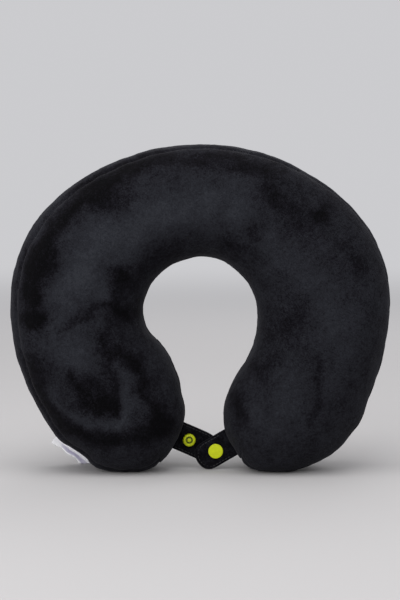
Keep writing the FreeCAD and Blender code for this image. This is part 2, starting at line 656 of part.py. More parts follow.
def snap_stud(name, facing):
    """Build the stud with its knob."""
    outer = "Sizes.snap_diameter / 2"
    bore = "Sizes.prong_diameter / 2 + 0.1"
    knob = "Sizes.knob_diameter / 2"
    base = "%s * Sizes.tab_ply" % facing
    floor = "%s * (Sizes.tab_ply + 0.8)" % facing
    neck = "%s * (Sizes.tab_ply + 1.2)" % facing
    top = "%s * (Sizes.tab_ply + Sizes.stud_height)" % facing
    return turned(name, [(bore, base), (outer, base), (outer, neck), (knob + " - 0.3", neck),
                         (knob, "%s * (Sizes.tab_ply + Sizes.stud_height - 0.7)" % facing),
                         (knob + " - 0.5", top), ("1.8", top), ("1.8", floor), (bore, floor)])


def tab(side, length, lean, snap_reach, place):
    """Build a tab's two layers and its stitching."""
    snap_x = "(%s - Sizes.tab_root_gap)" % snap_reach
    for layer, backwards in (("front", False), ("back", True)):
        ply = new_body("%s_tab_%s_ply" % (side, layer))
        sketch = new_sketch(ply, "TabOutline", "XZ_Plane")
        tab_loop(sketch, "tab", length, lean, "0", snap_x)
        pad(ply, sketch, "Sizes.tab_ply", backwards=backwards)
        bind_place(ply, **place)
    stitching = new_body("%s_tab_stitching" % side)
    sketch = new_sketch(stitching, "StitchLine", "XZ_Plane")
    sketch.setExpression("AttachmentOffset.Base.z", "Sizes.tab_ply")
    tab_loop(sketch, "outer", length, lean, "(Sizes.stitch_inset - Sizes.stitch_width / 2)")
    tab_loop(sketch, "inner", length, lean, "(Sizes.stitch_inset + Sizes.stitch_width / 2)")
    pad(stitching, sketch, "Sizes.stitch_height")
    bind_place(stitching, **place)


def snap_place(place, reach):
    """Return the place of a snap, a way along its tab."""
    along = "(%s - Sizes.tab_root_gap)" % reach
    return dict(place, x="%s + %s * cos(%s)" % (place["x"], along, place["turn"]),
                z="%s - %s * sin(%s)" % (place["z"], along, place["turn"]))


def tabs():
    """Build both tabs with their snaps: the socket behind, the stud in front."""
    left = {"x": "Derived.left_root", "y": "Sizes.tab_offset", "z": "Sizes.left_tab_height",
            "turn": "Sizes.left_tab_droop"}
    right = {"x": "Derived.right_root", "y": "-Sizes.tab_offset",
             "z": "Derived.right_tab_height", "turn": "(180 - Sizes.right_tab_droop)"}
    tab("left", "Sizes.left_tab_length", "(Sizes.left_tab_droop - Derived.left_tab_lean)",
        "Sizes.socket_reach", left)
    tab("right", "Sizes.right_tab_length", "(Derived.right_tab_lean - Sizes.right_tab_droop)",
        "Sizes.stud_reach", right)
    for piece in (snap_socket("snap_socket", "-1"), snap_cap("socket_cap", "1")):
        bind_place(piece, **snap_place(left, "Sizes.socket_reach"))
    for piece in (snap_stud("snap_stud", "1"), snap_cap("stud_cap", "-1")):
        bind_place(piece, **snap_place(right, "Sizes.stud_reach"))


def care_label():
    """Build the folded care label, sewn in the back seam low on the left lobe."""
    body = new_body("care_label")
    sketch = new_sketch(body, "FoldedStrip", "XY_Plane")
    outer = "Derived.label_half_thickness"
    inner = "(Sizes.label_fold_gap / 2)"
    fold = "Derived.label_length - Derived.label_half_thickness"
    polygon(sketch, [("0", "-" + outer), (fold, "-" + outer),
                     ("Derived.label_length", "-" + inner), ("Derived.label_length", inner),
                     (fold, outer), ("0", outer), ("0", inner), (fold, inner),
                     (fold, "-" + inner), ("0", "-" + inner)])
    pad(body, sketch, "Sizes.label_width", True)
    bind_place(body, "Derived.label_root", "Sizes.seam_offset", "Derived.label_root_height",
               "180 - Sizes.label_angle")


def soft_layers():
    """Build the foam, the lining and the cover's three panels."""
    pillow_form("foam_core", "Derived.foam_outside")
    lining_outer = pillow_form("LiningOutside", "Derived.lining_outside")
    lining_inner = pillow_form("LiningInside", "Derived.lining_inside")
    lining = cut("Lining", lining_outer, lining_inner)
    for name, y in (("lining_front", "-Sizes.pillow_depth"), ("lining_back", "0")):
        half = box(name + "_space",
                   ("2 * Sizes.pillow_width", "Sizes.pillow_depth", "2 * Sizes.pillow_height"),
                   ("-Sizes.pillow_width", y, "-Sizes.pillow_height / 2"))
        common(name, lining, half)
    cover_outer = pillow_form("CoverOutside", "0")
    cover_inner = pillow_form("CoverInside", "Sizes.cover_thickness")
    cover = cut("Cover", cover_outer, cover_inner)
    slot = zip_strip("ZipperOpening", "Derived.tape_top", "Derived.rim_radius + 4",
                     "-Sizes.slot_half_width", "Sizes.slot_half_width",
                     "Derived.zip_half_angle")
    front_space = panel_space("FrontSpace", False)
    back_space = panel_space("BackSpace", True)
    common("cover_front_panel", cover, front_space)
    cut("cover_back_panel", common("BackPanelUncut", cover, back_space), slot)
    around = cut("CoverAround", cut("CoverBehindFront", cover, front_space), back_space)
    cut("cover_side_band", around, slot)


PIECES = ["foam_core", "lining_front", "lining_back",
          "cover_front_panel", "cover_side_band", "cover_back_panel",
          "zipper_tape_front", "zipper_tape_back", "zipper_coil_front", "zipper_coil_back",
          "zipper_stop_left", "zipper_stop_right", "zipper_slider", "zipper_pull",
          "left_tab_front_ply", "left_tab_back_ply", "left_tab_stitching",
          "right_tab_front_ply", "right_tab_back_ply", "right_tab_stitching",
          "snap_socket", "socket_cap", "snap_stud", "stud_cap", "care_label"]


def check_document():
    """Stop if any object failed or has a bad shape."""
    for item in doc.Objects:
        if "Invalid" in item.State or "Error" in item.State:
            raise RuntimeError("%s failed: %s" % (item.Label, item.State))
        if hasattr(item, "Shape") and item.Name in PIECES:
            if item.Shape.isNull() or not item.Shape.isValid():
                raise RuntimeError("%s has a bad shape" % item.Label)


def export_pieces():
    """Write each piece to its own file."""
    os.makedirs("parts", exist_ok=True)
    for name in PIECES:
        doc.getObject(name).Shape.exportStep("parts/%s.step" % name)


soft_layers()
zipper_chain()
slider()
pull()
tabs()
care_label()
doc.recompute()
check_document()
export_pieces()
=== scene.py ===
import math

import bpy
import numpy as np
from mathutils import Matrix, Vector, noise
from mathutils.bvhtree import BVHTree


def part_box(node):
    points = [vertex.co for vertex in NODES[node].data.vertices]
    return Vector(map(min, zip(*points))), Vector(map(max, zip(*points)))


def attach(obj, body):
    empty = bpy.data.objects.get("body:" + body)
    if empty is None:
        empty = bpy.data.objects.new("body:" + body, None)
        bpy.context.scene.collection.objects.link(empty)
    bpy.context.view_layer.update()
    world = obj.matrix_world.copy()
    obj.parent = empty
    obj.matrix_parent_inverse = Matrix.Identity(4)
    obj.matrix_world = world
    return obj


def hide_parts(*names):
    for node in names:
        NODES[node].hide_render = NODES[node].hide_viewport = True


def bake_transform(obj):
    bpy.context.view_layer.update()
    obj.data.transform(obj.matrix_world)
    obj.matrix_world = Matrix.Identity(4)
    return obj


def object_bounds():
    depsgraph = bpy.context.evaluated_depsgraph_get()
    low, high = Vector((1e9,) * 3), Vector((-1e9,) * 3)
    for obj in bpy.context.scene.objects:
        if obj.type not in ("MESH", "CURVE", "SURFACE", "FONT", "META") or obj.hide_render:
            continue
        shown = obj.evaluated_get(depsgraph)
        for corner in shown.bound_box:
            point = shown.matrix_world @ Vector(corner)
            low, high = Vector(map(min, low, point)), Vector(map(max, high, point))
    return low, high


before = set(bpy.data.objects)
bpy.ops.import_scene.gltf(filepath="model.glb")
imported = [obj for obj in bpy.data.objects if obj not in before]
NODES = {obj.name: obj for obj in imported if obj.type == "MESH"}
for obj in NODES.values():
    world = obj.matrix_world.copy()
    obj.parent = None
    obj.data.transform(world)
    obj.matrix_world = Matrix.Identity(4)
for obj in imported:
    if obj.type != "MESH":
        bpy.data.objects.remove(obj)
cad_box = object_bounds()

MM = 0.001
HEIGHT = cad_box[1][2]
ARCH_SHARE = 0.3467
NECK_SHARE = 0.1757
NECK_HEIGHT = HEIGHT * (1 - ARCH_SHARE) - NECK_SHARE * HEIGHT

# The cover's seams: where the panels meet and how far the inner ones turn in.
FRONT_SEAM = -23 * MM
FRONT_SEAM_LEAN = 0.045
BACK_SEAM = 28 * MM
HEEL_SEAM = 34 * MM
INNER_RING = 84.5 * MM

# The zipper: its arc about the crown's centre, and its section, which leans back.
CROWN_HEIGHT = 94.23 * MM
ZIP_ANGLE = 34.76
ZIP_RADIUS = 174.6 * MM
ZIP_LEAN = math.radians(30)
RIM_CENTRE = (0, 8 * MM, 141.77 * MM)
COIL_HEIGHT = 38.8 * MM
COIL_OFFSET = 1.25 * MM
TOOTH_PITCH = 1.35 * MM
TOOTH_RADIUS = 0.56 * MM
TOOTH_LENGTH = 2.3 * MM

# The foam's copy: how finely it is remeshed and how far it fills out.
VOXEL = 4 * MM
STILL_PUFF = 1.2 * MM
LEAST_PUFF = 1.0 * MM
MOST_PUFF = 2.4 * MM
COVER_OFFSET = 4.2 * MM
CLOTH_FRAMES = 20
CLOTH_STIFFNESS = 12
PLUSH_THICKNESS = 1.2 * MM
SOLE_HEIGHT = 0.2 * MM
DRAWN_IN = 1.6 * MM

TAB_THICKNESS = 2.2 * MM
TAB_EDGE_RADIUS = 1.3 * MM
STITCH_INSET = 2.1 * MM
STITCH_PITCH = 2.9 * MM
STITCH_LENGTH = 2.4 * MM
STITCH_RADIUS = 0.32 * MM

CAP_RADIUS = 6.2 * MM
SNAP_RADIUS = 5.4 * MM
SNAP_SINK = 0.1 * MM

LABEL_ANGLE = math.radians(54)
LABEL_ROOT = Vector((-102.8, 28, 20.0)) * MM
LABEL_HALF_WIDTH = 20 * MM
LABEL_BURIED = 3 * MM
LABEL_LEAF = 18 * MM
LABEL_FOLD = 0.7 * MM
LABEL_BEND = 2.2 * MM
LABEL_LOWEST = 0.3 * MM

ROOM_COLOUR = (0.60, 0.60, 0.62, 1)


# ---------------------------------------------------------------- modelling


def deselect_all():
    """Leave nothing selected and nothing in edit mode."""
    if bpy.context.object and bpy.context.object.mode != "OBJECT":
        bpy.ops.object.mode_set(mode="OBJECT")
    bpy.ops.object.select_all(action="DESELECT")


def pick(piece):
    """Make one piece the only selected and active one."""
    deselect_all()
    piece.select_set(True)
    bpy.context.view_layer.objects.active = piece


def new_piece(name, mesh):
    """Link a new object that holds a mesh."""
    piece = bpy.data.objects.new(name, mesh)
    bpy.context.scene.collection.objects.link(piece)
    return piece


def apply_modifier(piece, modifier):
    """Apply one modifier for good."""
    pick(piece)
    bpy.ops.object.modifier_apply(modifier=modifier.name)


def copy_of(node, name):
    """Copy a CAD node's mesh into a piece of its own, with its corners merged."""
    piece = new_piece(name, NODES[node].data.copy())
    pick(piece)
    bpy.ops.object.mode_set(mode="EDIT")
    bpy.ops.mesh.select_all(action="SELECT")
    bpy.ops.mesh.remove_doubles(threshold=0.01 * MM)
    bpy.ops.object.mode_set(mode="OBJECT")
    return piece


def points_of(piece):
    """Return a mesh's points as rows of three."""
    points = np.empty(len(piece.data.vertices) * 3)
    piece.data.vertices.foreach_get("co", points)
    return points.reshape(-1, 3)


def normals_of(piece):
    """Return a mesh's point normals as rows of three."""
    normals = np.empty(len(piece.data.vertices) * 3)
    piece.data.vertices.foreach_get("normal", normals)
    return normals.reshape(-1, 3)


def set_points(piece, points):
    """Put a mesh's points where the rows say."""
    piece.data.vertices.foreach_set("co", np.ascontiguousarray(points).ravel())
    piece.data.update()


def smooth_step(value, low, high):
    """Go from 0 to 1 smoothly between two values."""
    share = np.clip((value - low) / (high - low), 0, 1)
    return share * share * (3 - 2 * share)


def path_distance(x, z, path):
    """Return the distance of points from a path in the XZ plane."""
    nearest = np.full(len(x), 1e9)
    for (ax, az), (bx, bz) in zip(path[:-1], path[1:]):
        run = (bx - ax, bz - az)
        length = run[0] ** 2 + run[1] ** 2 + 1e-12
        share = np.clip(((x - ax) * run[0] + (z - az) * run[1]) / length, 0, 1)
        gap = np.hypot(x - ax - share * run[0], z - az - share * run[1])
        nearest = np.minimum(nearest, gap)
    return nearest


def cloud(points, size, seed):
    """Return soft noise from about -1 to 1 at each point."""
    shift = Vector((seed * 7.3, seed * 3.1, seed * 5.7))
    return np.array([noise.fractal(Vector(p) / size + shift, 0.6, 2.1, 4) for p in points])


# ---------------------------------------------------------------- stuffed form

# Where the pillow leaves its even outline, in millimetres: place, reach, shift.
HAND_SHAPED = [
    (-34, 99, 21, 9.5, 1.0), (-22, 76, 16, 6.5, 0.0), (-17, 52, 18, 3.6, 0.0),
    (-14, 30, 16, -0.8, 0.0), (40, 97, 20, 5.0, 0.0), (18, 50, 20, 3.6, 0.0),
    (22, 66, 16, -2.0, 0.0), (24, 20, 17, 4.5, 2.0), (134, 38, 19, 5.0, 0.0),
    (118, 12, 16, 5.0, 0.0), (-107, 13, 15, 7.0, 1.0), (-134, 48, 24, 0.6, 0.5),
    (4, 182, 26, 1.5, 1.0), (19, 70, 9, 1.6, 0.0),
]


def hand_shape(points):
    """Shift soft layers together, so that the two lobes differ as sewn ones do."""
    shaped = points.copy()
    for x, z, reach, across, up in HAND_SHAPED:
        gap = ((points[:, 0] / MM - x) ** 2 + (points[:, 2] / MM - z) ** 2) / reach ** 2
        share = np.exp(-gap)
        shaped[:, 0] += share * across * MM
        shaped[:, 2] += share * up * MM
    return shaped


def stuffed_form():
    """Puff a copy of the foam up into the cover that it fills."""
    form = copy_of("foam_core", "stuffed_form")
    form.data.remesh_voxel_size = VOXEL
    pick(form)
    bpy.ops.object.voxel_remesh()
    start = points_of(form)
    outward = normals_of(form)
    puff = outward * STILL_PUFF
    cloth = form.modifiers.new("Stuffing", "CLOTH")
    cloth.settings.quality = 5
    cloth.settings.mass = 0.15
    cloth.settings.tension_stiffness = CLOTH_STIFFNESS
    cloth.settings.compression_stiffness = CLOTH_STIFFNESS
    cloth.settings.bending_stiffness = 0.6
    cloth.settings.use_pressure = True
    cloth.settings.uniform_pressure_force = 4
    cloth.settings.effector_weights.gravity = 0
    for number in range(1, CLOTH_FRAMES + 1):
        bpy.context.scene.frame_set(number)
    puffed = form.evaluated_get(bpy.context.evaluated_depsgraph_get()).to_mesh()
    puff = np.array([vertex.co[:] for vertex in puffed.vertices]) - start
    form.modifiers.remove(cloth)
    bpy.context.scene.frame_set(1)
    reach = np.linalg.norm(puff, axis=1, keepdims=True) + 1e-9
    puff *= np.minimum(1, MOST_PUFF / reach)
    pressed = np.sum(puff * outward, axis=1, keepdims=True)
    puff += outward * np.maximum(0, LEAST_PUFF - pressed)
    set_points(form, start + puff + outward * COVER_OFFSET)
    finer = form.modifiers.new("Finer", "SUBSURF")
    finer.levels = finer.render_levels = 1
    apply_modifier(form, finer)
    return form


def bisect(piece, place, normal):
    """Cut new edges across a piece along a plane, and keep both sides."""
    pick(piece)
    bpy.ops.object.mode_set(mode="EDIT")
    bpy.ops.mesh.select_all(action="SELECT")
    bpy.ops.mesh.bisect(plane_co=place, plane_no=normal, use_fill=False,
                        clear_inner=False, clear_outer=False, threshold=1e-7)
    bpy.ops.object.mode_set(mode="OBJECT")


def front_seam(x):
    """Return how far forward the front seam lies: further on the left side."""
    return FRONT_SEAM + FRONT_SEAM_LEAN * x


def inner_zone(points):
    """Say which points are round the neck hole and in the throat."""
    x, z = points[:, 0], points[:, 2]
    throat = (np.abs(x) < HEEL_SEAM) & (z < NECK_HEIGHT)
    return throat | (np.hypot(x, z - NECK_HEIGHT) < INNER_RING)


def zip_angle(points):
    """Return each point's angle from the top of the arch, in degrees."""
    return np.degrees(np.arctan2(points[:, 0], points[:, 2] - CROWN_HEIGHT))


def seam_depth(points):
    """Return how far the cover is drawn in at its seams and over its zipper."""
    x, y, z = points.T
    outer = ~inner_zone(points)
    pucker = 1 + 0.25 * np.sin((x + z) / (4.6 * MM)) + 0.2 * np.sin((x - 2 * z) / (7.9 * MM))
    front = np.exp(-((y - front_seam(x)) / (2.3 * MM)) ** 2) * 1.15 * pucker
    back = np.exp(-((y - BACK_SEAM) / (1.7 * MM)) ** 2) * 1.5 * pucker
    middle = np.exp(-(y / (1.6 * MM)) ** 2) * 1.1 * pucker
    heel = np.exp(-((np.abs(x) - HEEL_SEAM) / (1.6 * MM)) ** 2) * (z < 20 * MM) * 0.8
    along_zip = 1 - smooth_step(np.abs(zip_angle(points)), ZIP_ANGLE - 0.3, ZIP_ANGLE + 0.8)
    slot = 1 - smooth_step(np.abs(y - BACK_SEAM), 3.6 * MM, 4.9 * MM)
    drawn = np.where(outer, np.maximum(front, back), middle)
    drawn = np.where(outer & (np.abs(y) < BACK_SEAM), np.maximum(drawn, heel), drawn)
    return np.where(outer, np.maximum(drawn, slot * along_zip * 3.9), drawn) * MM


# The pile as hands have brushed it, and painted shade along two creases: tone, half width and
# path, in millimetres.
PILE_AND_CREASE_SHADE_MARKS = [
    (-0.50, 8, [(-139, 172), (-121, 205), (-98, 229), (-72, 247), (-46, 259)]),
    (-0.36, 13, [(-84, 238), (-64, 226)]),
    (-0.85, 7, [(-142, 154), (-137, 147)]), (-0.85, 7, [(-140, 130), (-131, 129)]),
    (-0.30, 9, [(-127, 188), (-134, 162)]),
    # Painted shade: a dark line along the crease dented in the left lobe.
    (-0.36, 3.2, [(-114, 123), (-102, 133), (-88, 142), (-74, 141)]),
    (-0.50, 7, [(-65, 170), (-68, 152), (-69, 134)]), (-0.30, 7, [(-64, 134), (-50, 140)]),
    (-0.34, 8, [(-88, 80), (-80, 68)]), (-0.75, 5, [(-78, 64), (-69, 57)]),
    (-0.42, 5, [(-107, 83), (-96, 68), (-82, 58), (-72, 55)]),
    (-0.38, 6, [(-78, 117), (-74, 98), (-70, 80), (-66, 64)]),
    (-0.44, 8, [(-139, 90), (-128, 65), (-113, 43), (-88, 33), (-54, 33), (-30, 43)]),
    (-0.42, 6, [(-64, 107), (-50, 92), (-42, 66), (-29, 48)]),
    (-0.26, 5, [(-52, 98), (-49, 92)]),
    (-0.34, 7, [(-34, 263), (18, 263), (62, 253)]),
    (-0.50, 6, [(98, 221), (98, 216)]), (-0.28, 9, [(58, 238), (80, 216)]),
    # The second mark on this line is painted shade along the crease dented in the right lobe.
    (-0.32, 5, [(42, 204), (47, 199)]), (-0.24, 3.4, [(99, 99), (98, 75), (97, 57), (90, 40)]),
    (-0.38, 6, [(30, 67), (36, 46)]), (-0.28, 8, [(66, 97), (48, 90)]),
    (-0.20, 12, [(78, 130), (60, 118)]), (-0.22, 7, [(120, 190), (134, 176)]),
    (-0.22, 9, [(-20, 190), (-44, 176), (-54, 160)]), (-0.2, 8, [(20, 192), (46, 182)]),
    (0.34, 4.5, [(-123, 72), (-110, 54), (-88, 45), (-66, 46), (-58, 57), (-60, 75), (-68, 93)]),
    (0.28, 13, [(-118, 108), (-100, 92)]), (0.20, 15, [(-112, 126), (-100, 108)]),
    (0.42, 15, [(-112, 152), (-100, 178), (-76, 204), (-40, 222), (0, 229), (30, 226)]),
    (0.26, 12, [(-60, 190), (-40, 206), (0, 212)]), (0.30, 13, [(-76, 150), (-92, 166)]),
    (0.24, 17, [(58, 192), (90, 170), (106, 150), (104, 120)]),
    (0.24, 14, [(72, 92), (72, 58)]), (0.14, 11, [(45, 50), (62, 40)]),
    (0.14, 10, [(112, 78), (120, 100), (130, 140)]),
]


def brushed_pile_and_painted_light(piece):
    """Store how light each point's pile lies, from 0 for dark to 1 for light, with painted sheen
    and painted crease shade in it.
    """
    points = points_of(piece)
    x, y, z = points.T / MM
    flow = cloud(points, 26 * MM, 1), cloud(points, 26 * MM, 2)
    x_drift, z_drift = x + 5 * flow[0], z + 5 * flow[1]
    tone = np.full(len(points), 0.46)
    pile_marks_and_crease_shade = np.zeros(len(points))
    for strength, half_width, path in PILE_AND_CREASE_SHADE_MARKS:
        pile_marks_and_crease_shade += strength * np.exp(-(path_distance(x_drift, z_drift, path) / half_width) ** 2)
    facing = smooth_step(-y, 2, 20)
    tone += 0.88 * pile_marks_and_crease_shade * facing
    tone += 0.34 * cloud(points, 42 * MM, 3) * (1 - 0.8 * facing)
    tone += 0.10 * cloud(points, 13 * MM, 4) + 0.07 * cloud(points, 5 * MM, 5)
    # Painted sheen: the pile is made lighter round the middle of the thickness, from y -30 to 30
    # mm.
    tone += 0.10 * smooth_step(y, -30, -10) * (1 - smooth_step(y, 10, 30))
    attribute = piece.data.attributes.new("pile_tone_and_painted_light", "FLOAT", "POINT")
    attribute.data.foreach_set("value", np.clip(tone, 0, 1).astype(np.float32))


def keep_faces(piece, wanted):
    """Delete every face that is not wanted."""
    pick(piece)
    bpy.ops.object.mode_set(mode="EDIT")
    bpy.ops.mesh.select_mode(type="FACE")
    bpy.ops.mesh.select_all(action="DESELECT")
    bpy.ops.object.mode_set(mode="OBJECT")
    piece.data.polygons.foreach_set("select", ~wanted)
    bpy.ops.object.mode_set(mode="EDIT")
    bpy.ops.mesh.delete(type="FACE")
    bpy.ops.object.mode_set(mode="OBJECT")


def cover_panels(plush):
    """Cut the stuffed form into its three sewn panels and give them a thickness."""
    form = stuffed_form()
    set_points(form, hand_shape(points_of(form)))
    lean = (-FRONT_SEAM_LEAN, 1, 0)
    for offset in (-1.6, 0, 1.6):
        bisect(form, (0, FRONT_SEAM + offset * MM, 0), lean)
        bisect(form, (0, offset * MM, 0), (0, 1, 0))
    for offset in (-4.9, -3.6, -1.5, 0, 1.5, 3.6, 4.9):
        bisect(form, (0, BACK_SEAM + offset * MM, 0), (0, 1, 0))
    for side in (-1, 1):
        bisect(form, (side * HEEL_SEAM, 0, 0), (1, 0, 0))
    points = points_of(form)
    lumps = 0.8 * cloud(points, 60 * MM, 6) + 0.35 * cloud(points, 16 * MM, 7)
    outward = normals_of(form)
    creases = np.zeros(len(points))
    for path in ([(-114, 123), (-102, 133), (-88, 142), (-74, 141)],
                 [(99, 99), (98, 75), (97, 57), (90, 40)]):
        reach = path_distance(points[:, 0] / MM, points[:, 2] / MM, path)
        creases += 0.6 * np.exp(-(reach / 3.6) ** 2) * (points[:, 1] < 0)
    shift = (lumps - creases) * MM - seam_depth(points)
    points += outward * shift[:, None]
    points[:, 2] = np.maximum(points[:, 2], SOLE_HEIGHT)
    set_points(form, points)
    brushed_pile_and_painted_light(form)
    centres = np.empty(len(form.data.polygons) * 3)
    form.data.polygons.foreach_get("center", centres)
    centres = centres.reshape(-1, 3)
    inner = inner_zone(centres)
    front = (centres[:, 1] < front_seam(centres[:, 0])) | (inner & (centres[:, 1] < 0))
    back = (centres[:, 1] > BACK_SEAM) | (inner & (centres[:, 1] >= 0))
    for name, wanted in (("front_panel", front), ("back_panel", back & ~front),
                         ("side_band", ~front & ~back)):
        panel = new_piece("plush_" + name, form.data.copy())
        keep_faces(panel, wanted)
        thickness = panel.modifiers.new("Fabric", "SOLIDIFY")
        thickness.thickness = PLUSH_THICKNESS
        thickness.offset = -1
        apply_modifier(panel, thickness)
        bpy.ops.object.shade_smooth()
        panel.data.materials.clear()
        panel.data.materials.append(plush)
        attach(panel, "pillow")
        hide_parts("cover_" + name)
    bpy.data.objects.remove(form)


def inner_layers(foam, knit):
    """Shape the foam and the lining as the cover over them, and draw them in under it."""
    core = NODES["foam_core"].data
    foam_tree = BVHTree.FromPolygons([vertex.co[:] for vertex in core.vertices],
                                     [face.vertices[:] for face in core.polygons])
    for node, finish in (("foam_core", foam), ("lining_front", knit), ("lining_back", knit)):
        layer = copy_of(node, node + "_shaped")
        outward = np.array([foam_tree.find_nearest(point)[1] for point in points_of(layer)])
        set_points(layer, hand_shape(points_of(layer) - outward * DRAWN_IN))
        bpy.ops.object.shade_smooth_by_angle(angle=math.radians(40))
        layer.data.materials.clear()
        layer.data.materials.append(finish)
        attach(layer, "pillow")
        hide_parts(node)


# ---------------------------------------------------------------- snap tabs


class Tab:
    """The place, heading and size of one snap tab, taken from its CAD layers."""

    def __init__(self, side, droop, length, width, root, turn):
        self.side = side
        self.length, self.width = length * MM, width * MM
        self.root = Vector(root) * MM
        angle = math.radians(droop)
        self.along = Vector((turn * math.cos(angle), 0, -math.sin(angle)))
        self.across = Vector((math.sin(angle) * turn, 0, math.cos(angle)))

    def place(self, along, across, out):
        """Return a point in the row frame from one on the tab; out is towards the back."""
        return self.root + self.along * along + self.across * across + Vector((0, out, 0))


LEFT_TAB = Tab("left", 23.5, 33.6, 24.6, (-17.56, 4, 28), 1)
RIGHT_TAB = Tab("right", 30, 26.6, 24.6, (20.74, -4, 20.3), -1)


def tab_bend(tab, along, across):
    """Return how far a tab's fabric waves out of its plane."""
    wave = 0.35 * math.sin(along / (6.5 * MM) + (0.6 if tab.side == "left" else 2.0))
    curl = 0.5 * (across / (tab.width / 2)) ** 2
    return (wave + (curl if tab.side == "right" else -curl)) * MM


def tab_tip(tab, across):
    """Return how far along a tab its rounded tip reaches at a distance across it."""
    half = tab.width / 2
    share = min(1, abs(across) / half)
    return tab.length - half + half * (1 - share ** 2.3) ** (1 / 2.3)


def snap_tab(tab, buried, plush):
    """Make one tab: two layers sewn together, thin at the edge and at the stitching."""
    deselect_all()
    bpy.ops.mesh.primitive_grid_add(x_subdivisions=52, y_subdivisions=40, size=2)
    piece = bpy.context.object
    piece.name = tab.side + "_tab_fabric"
    shell = piece.modifiers.new("Layers", "SOLIDIFY")
    shell.thickness = 0.2
    shell.offset = 0
    apply_modifier(piece, shell)
    half = tab.width / 2
    for vertex in piece.data.vertices:
        share, side, layer = vertex.co
        across = side * half
        tip = tab_tip(tab, across)
        along = -buried + (share + 1) / 2 * (tip + buried)
        edge = min(half - abs(across), tip - along)
        rounded = math.sqrt(max(0, 1 - (1 - min(1, edge / TAB_EDGE_RADIUS)) ** 2))
        pressed = 1 - 0.3 * math.exp(-((edge - STITCH_INSET) / (0.6 * MM)) ** 2)
        out = math.copysign(TAB_THICKNESS / 2 * rounded * pressed, layer)
        vertex.co = tab.place(along, across, out + tab_bend(tab, along, across))
    piece.data.update()
    pick(piece)
    bpy.ops.object.mode_set(mode="EDIT")
    bpy.ops.mesh.select_all(action="SELECT")
    bpy.ops.mesh.remove_doubles(threshold=0.01 * MM)
    bpy.ops.mesh.normals_make_consistent(inside=False)
    bpy.ops.object.mode_set(mode="OBJECT")
    bpy.ops.object.shade_smooth()
    tone = piece.data.attributes.new("pile_tone_and_painted_light", "FLOAT", "POINT")
    points = points_of(piece)
    shade = 0.30 + 0.16 * cloud(points, 7 * MM, 8) + 0.1 * cloud(points, 2.5 * MM, 9)
    tone.data.foreach_set("value", np.clip(shade, 0, 1).astype(np.float32))
    piece.data.materials.append(plush)
    hinge_to(piece, tab)
    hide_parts("%s_tab_front_ply" % tab.side, "%s_tab_back_ply" % tab.side)


def hinge_to(piece, tab):
    """Bake a tab's fabric or thread into its mesh where it stands."""
    tuple(tab.place(-2.5 * MM, 0, 0))
    tuple(tab.place(3.5 * MM, 0, 0))
    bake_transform(piece)


def stitch_path(tab):
    """Return points along a tab's stitch line, from its root round the tip and back."""
    half = tab.width / 2 - STITCH_INSET
    tip = tab.length - tab.width / 2
    reach = half * 0.96
    path = [(share * tip, -half) for share in np.linspace(0, 1, 60)]
    path += [(tip + reach * math.cos(turn), half * math.sin(turn))
             for turn in np.linspace(-math.pi / 2, math.pi / 2, 90)[1:]]
    path += [(share * tip, half) for share in np.linspace(1, 0, 60)[1:]]
    return path


def join(pieces, name):
    """Join pieces into one named mesh."""
    deselect_all()
    for piece in pieces:
        piece.select_set(True)
    bpy.context.view_layer.objects.active = pieces[0]
    bpy.ops.object.join()
    joined = bpy.context.object
    joined.name = name
    return joined


def repeat_along(model, name, places):
    """Copy a small model's mesh to each place, given as a matrix, and join the copies."""
    pieces = []
    for place in places:
        mesh = model.data.copy()
        mesh.transform(place)
        pieces.append(new_piece(name, mesh))
    bpy.data.objects.remove(model)
    return join(pieces, name)


def bead(radius, length):
    """Model a short rounded bar along X."""
    deselect_all()
    bpy.ops.mesh.primitive_uv_sphere_add(segments=8, ring_count=6, radius=1)
    model = bpy.context.object
    bpy.ops.object.mode_set(mode="EDIT")
    bpy.ops.mesh.select_all(action="SELECT")
    bpy.ops.transform.resize(value=(length / 2, radius, radius))
    bpy.ops.object.mode_set(mode="OBJECT")
    bpy.ops.object.shade_smooth()
    return model


def frame_at(place, forward, up):
    """Return the matrix that puts X forward and Z up at a place."""
    forward = forward.normalized()
    side = up.cross(forward).normalized()
    up = forward.cross(side)
    matrix = Matrix((forward, side, up)).transposed().to_4x4()
    matrix.translation = place
    return matrix


def tab_stitches(tab, thread):
    """Lay separate stitches round both faces of a tab."""
    path = stitch_path(tab)
    steps = np.hypot(*np.diff(np.array(path), axis=0).T)
    travelled = np.concatenate([[0], np.cumsum(steps)])
    places = []
    for middle in np.arange(STITCH_PITCH / 2, travelled[-1], STITCH_PITCH):
        ends = [(np.interp(middle + part, travelled, [p[0] for p in path]),
                 np.interp(middle + part, travelled, [p[1] for p in path]))
                for part in (-0.4 * STITCH_PITCH, 0, 0.4 * STITCH_PITCH)]
        for face in (-1, 1):
            out = face * TAB_THICKNESS * 0.5 * 0.76
            near, here, far = [tab.place(a, b, out + tab_bend(tab, a, b)) for a, b in ends]
            places.append(frame_at(here, far - near, Vector((0, face, 0))))
    model = bead(STITCH_RADIUS, STITCH_LENGTH)
    stitches = repeat_along(model, tab.side + "_tab_stitches", places)
    stitches.data.materials.clear()
    stitches.data.materials.append(thread)
    hinge_to(stitches, tab)
    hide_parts(tab.side + "_tab_stitching")


def disc(name, centre, radius, depth, facing):
    """Start a snap as a round blank standing on its tab, its axis along Y."""
    deselect_all()
    bpy.ops.mesh.primitive_cylinder_add(vertices=72, radius=radius, depth=depth)
    piece = bpy.context.object
    piece.name = name
    place = centre + Vector((0, facing * depth / 2, 0))
    turn = frame_at(place, Vector((1, 0, 0)), Vector((0, facing, 0)))
    return piece, turn


